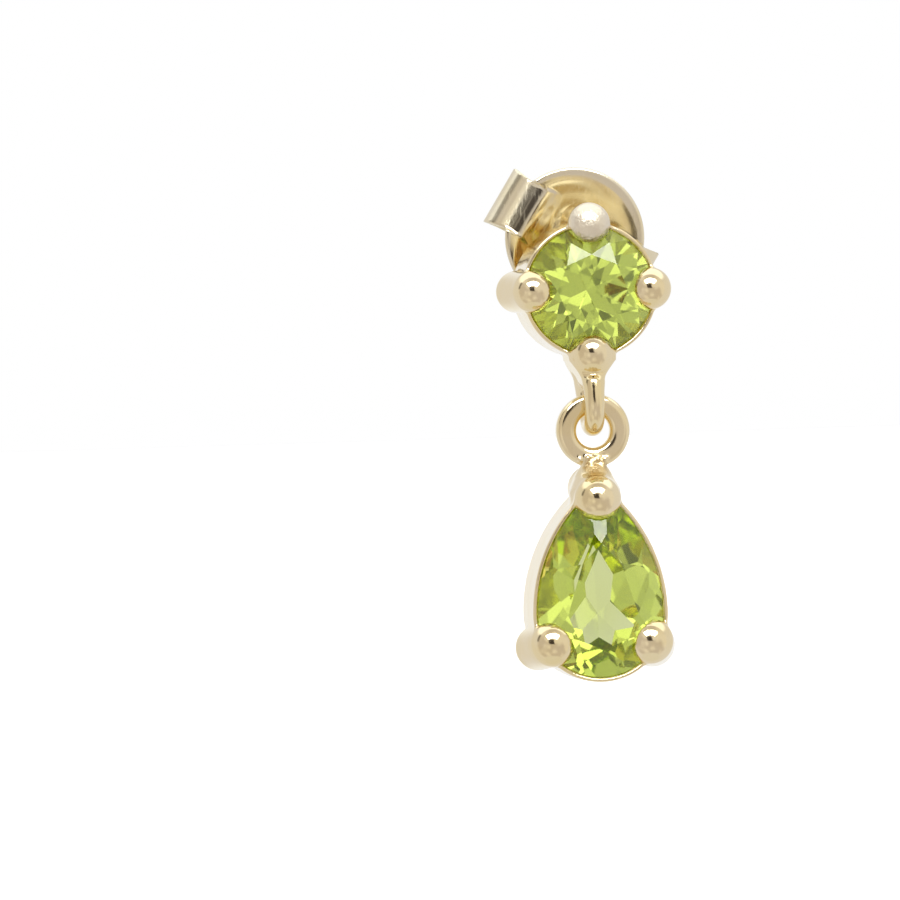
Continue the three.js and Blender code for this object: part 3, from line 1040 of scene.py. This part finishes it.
@dataclass
class Studio:
    """Pale surroundings, told apart by direction, with a bright panel above, and the camera."""

    azimuth: float = -7.0
    elevation: float = 1.0
    roll: float = 1.6
    lens: float = 500.0
    pixels_per_mm: float = 31.6
    picture: float = 900.0
    stone_pixel: tuple[float, float] = (590.0, 290.0)
    floor_level: float = -40.0

    def basis(self) -> tuple[Vector, Vector, Vector]:
        """The camera's right, up and back directions: azimuth 0 looks along +Y.

        Returns:
            The three directions.
        """
        a, e = math.radians(self.azimuth), math.radians(self.elevation)
        back = Vector((math.sin(a) * math.cos(e), -math.cos(a) * math.cos(e), math.sin(e)))
        right = Vector((math.cos(a), math.sin(a), 0))
        turn = Matrix.Rotation(math.radians(-self.roll), 3, back)
        right = turn @ right
        return right, back.cross(right), back

    def camera(self, stone: Array) -> None:
        """Places the camera so that the round stone's middle falls on its pixel.

        Args:
            stone: The round stone's middle, in millimetres.
        """
        data = bpy.data.cameras.new("camera")
        data.lens = self.lens
        eye = bpy.data.objects.new("camera", data)
        bpy.context.scene.collection.objects.link(eye)
        right, up, back = self.basis()
        distance = self.picture / self.pixels_per_mm * self.lens / data.sensor_width
        across = (self.stone_pixel[0] - self.picture / 2) / self.pixels_per_mm
        rise = (self.picture / 2 - self.stone_pixel[1]) / self.pixels_per_mm
        target = Vector(stone) - right * across - up * rise
        eye.location = (target + back * distance) * MM
        eye.rotation_mode = "QUATERNION"
        eye.rotation_quaternion = Matrix((right, up, back)).transposed().to_quaternion()
        data.clip_start, data.clip_end = 0.01, 10.0
        bpy.context.scene.camera = eye

    def bearings(self, net: Wiring) -> Bearings:
        """Reads a ray's direction against the camera's placing, which is fixed, and its kind.

        Args:
            net: The world's nodes.

        Returns:
            The sockets.
        """
        way = net.add("ShaderNodeTexCoord").outputs["Generated"]
        right, _, back = self.basis()
        ahead = net.add("ShaderNodeVectorMath", {0: way, 1: tuple(back)}, operation="DOT_PRODUCT")
        across = net.add("ShaderNodeVectorMath", {0: way, 1: tuple(right)}, operation="DOT_PRODUCT")
        height = net.add("ShaderNodeSeparateXYZ", {0: way}).outputs[2]
        rays = net.add("ShaderNodeLightPath").outputs
        return Bearings(way, ahead.outputs["Value"], across.outputs["Value"], height,
                        rays["Is Transmission Ray"], rays["Ray Depth"])

    def noise(self, net: Wiring, at: Bearings, scale: float) -> bpy.types.NodeSocket:
        """Soft patches over the directions."""
        inputs = {"Vector": at.way, "Scale": scale, "Detail": 1.0}
        return net.add("ShaderNodeTexNoise", inputs).outputs[0]

    def room(self, net: Wiring, at: Bearings) -> bpy.types.NodeSocket:
        """The room: white behind, clouded in front for metal and patchy for stones, and a warm floor.

        Args:
            net: The world's nodes.
            at: Where the rays go.

        Returns:
            The room's colour.
        """
        backdrop = net.product(net.ramp(at.ahead, -0.86, -0.97), net.math("SUBTRACT", 1.0, at.through))
        behind = net.mix(backdrop, (0.76, 0.73, 0.72, 1), (0.93, 0.93, 0.94, 1))
        patches = self.noise(net, at, 2.8)
        dim = net.mix(net.ramp(patches, 0.34, 0.46), (0.13, 0.14, 0.12, 1), (0.61, 0.61, 0.6, 1))
        patchy = net.mix(net.ramp(patches, 0.53, 0.66), dim, (1.25, 1.25, 1.22, 1))
        clouds = net.ramp(self.noise(net, at, 1.4), 0.38, 0.62)
        cloudy = net.mix(clouds, (0.6, 0.54, 0.5, 1), (0.8, 0.75, 0.69, 1))
        front = net.mix(at.through, cloudy, patchy)
        color = net.mix(net.ramp(at.ahead, -0.05, 0.2), behind, front)
        return net.mix(net.ramp(at.height, -0.8, -0.9), color, (0.74, 0.71, 0.66, 1))

    def lights(self, net: Wiring, at: Bearings, color: bpy.types.NodeSocket) -> bpy.types.NodeSocket:
        """Adds the light overhead, a dim strip at the left, and the bright panel.

        The panel lies above the camera, in a crescent round it. Metal that is seen in other metal
        gets it far dimmer, as a real panel is by then hidden by the piece itself.

        Args:
            net: The world's nodes.
            at: Where the rays go.
            color: The colour so far.

        Returns:
            The colour with the lights.
        """
        overhead = net.product(net.ramp(at.height, 0.5, 0.7), net.ramp(at.ahead, 0.2, 0.05))
        color = net.mix(overhead, color, (1.3, 1.3, 1.28, 1))
        strip = net.product(net.band(at.ahead, (-0.05, 0.05, 0.16, 0.26)),
                            net.ramp(at.across, -0.42, -0.56),
                            net.band(at.height, (0.14, 0.28, 0.56, 0.7)))
        color = net.mix(strip, color, (0.24, 0.22, 0.2, 1))
        steep = net.math("DIVIDE", at.height, net.math("ABSOLUTE", at.across))
        panel = net.product(net.band(at.ahead, (0.53, 0.57, 0.83, 0.87)), net.ramp(steep, 1.1, 1.35))
        later = net.ramp(at.depth, 2.4, 2.6)
        bright = net.mix(later, (7.0, 7.0, 7.0, 1), (0.9, 0.88, 0.85, 1))
        return net.mix(panel, color, net.mix(at.through, bright, (1.9, 1.9, 1.9, 1)))

    def dark_spot(self, net: Wiring, at: Bearings) -> bpy.types.NodeSocket:
        """A small ragged slanted mask below the panel, which gives the beads their dark spots.

        Args:
            net: The world's nodes.
            at: Where the rays go.

        Returns:
            The mask, which rays through stones don't see.
        """
        ragged = net.product(net.math("SUBTRACT", self.noise(net, at, 6.0), 0.4), 0.5)
        lean = net.math("ADD", net.math("ADD", at.across, -0.06), net.product(at.height, 0.45))
        lean = net.math("ABSOLUTE", net.math("ADD", lean, ragged))
        rise = net.math("ABSOLUTE", net.math("SUBTRACT", at.height, 0.23))
        return net.product(net.ramp(lean, 0.26, 0.15), net.ramp(rise, 0.24, 0.15),
                           net.ramp(at.ahead, 0.5, 0.6), net.math("SUBTRACT", 1.0, at.through))

    def surroundings(self) -> None:
        """Lights the scene by direction alone, and shows the camera itself plain white."""
        world = bpy.data.worlds.new("studio")
        bpy.context.scene.world = world
        world.use_nodes = True
        net = Wiring(world.node_tree)
        at = self.bearings(net)
        color = self.lights(net, at, self.room(net, at))
        color = net.mix(self.dark_spot(net, at), color, (0.06, 0.05, 0.045, 1))
        studio = net.add("ShaderNodeBackground", {"Color": color, "Strength": 1.0})
        plain = net.add("ShaderNodeBackground", {"Color": (1, 1, 1, 1), "Strength": 1.0})
        seen = net.add("ShaderNodeLightPath").outputs["Is Camera Ray"]
        both = net.add("ShaderNodeMixShader", {0: seen, 1: studio.outputs[0], 2: plain.outputs[0]})
        net.add("ShaderNodeOutputWorld", {"Surface": both.outputs[0]})

    def floor(self) -> None:
        """A wide pale floor below the hanging earring."""
        half = 2.0
        corners = [(-half, -half), (half, -half), (half, half), (-half, half)]
        mesh = bpy.data.meshes.new("floor")
        mesh.from_pydata([(x, y, self.floor_level * MM) for x, y in corners], [], [(0, 1, 2, 3)])
        ground = bpy.data.objects.new("floor", mesh)
        bpy.context.scene.collection.objects.link(ground)
        material = bpy.data.materials.new("pale_floor")
        material.use_nodes = True
        net = Wiring(material.node_tree)
        pale = {"Base Color": (0.95, 0.95, 0.95, 1), "Roughness": 0.8}
        shader = net.add("ShaderNodeBsdfPrincipled", pale)
        net.add("ShaderNodeOutputMaterial", {"Surface": shader.outputs[0]})
        mesh.materials.append(material)
        for ray in ("visible_glossy", "visible_transmission", "visible_diffuse"):
            setattr(ground, ray, False)


# Putting it together


def main() -> None:
    """Builds the earring, its finishes and the studio."""
    logging.basicConfig(level=logging.INFO, format="%(message)s")
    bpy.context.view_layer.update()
    round_stone = Stone("stud_stone", Cut.ROUND)
    pear_stone = Stone("drop_stone", Cut.PEAR, length=6.0)
    studio = Studio()
    studio.camera(round_stone.middle)
    studio.surroundings()
    studio.floor()

    peridot = Peridot().make()
    stud = Stud(Head(round_stone, depth=2.6, ledge_width=0.85))
    drop = Drop(Head(pear_stone, depth=2.5, ledge_width=0.4))
    scuff = Spot(tuple(stud.top_bead() * MM), 0.85 * MM, (0.9, 0.83, 0.68), 0.38)
    solder = Spot(tuple(drop.solder() * MM), 0.46 * MM, (0.78, 0.62, 0.34), 0.34)
    wear = worn_metal()
    stud.build(Gold("stud_gold", scuff).make(wear))
    drop.build(Gold("drop_gold", solder).make(wear))
    nut_gold = Gold("nut_gold", light=(0.91, 0.85, 0.67), deep=(0.89, 0.81, 0.58), roughness=0.12)
    PushBack().build(nut_gold.make(wear))
    for stone in (round_stone, pear_stone):
        stone.dress(peridot)

    scene = bpy.context.scene
    scene.view_settings.view_transform = "Standard"
    scene.cycles.max_bounces = 32
    scene.cycles.glossy_bounces = 24
    scene.cycles.transmission_bounces = 24


if __name__ == "__main__":
    main()
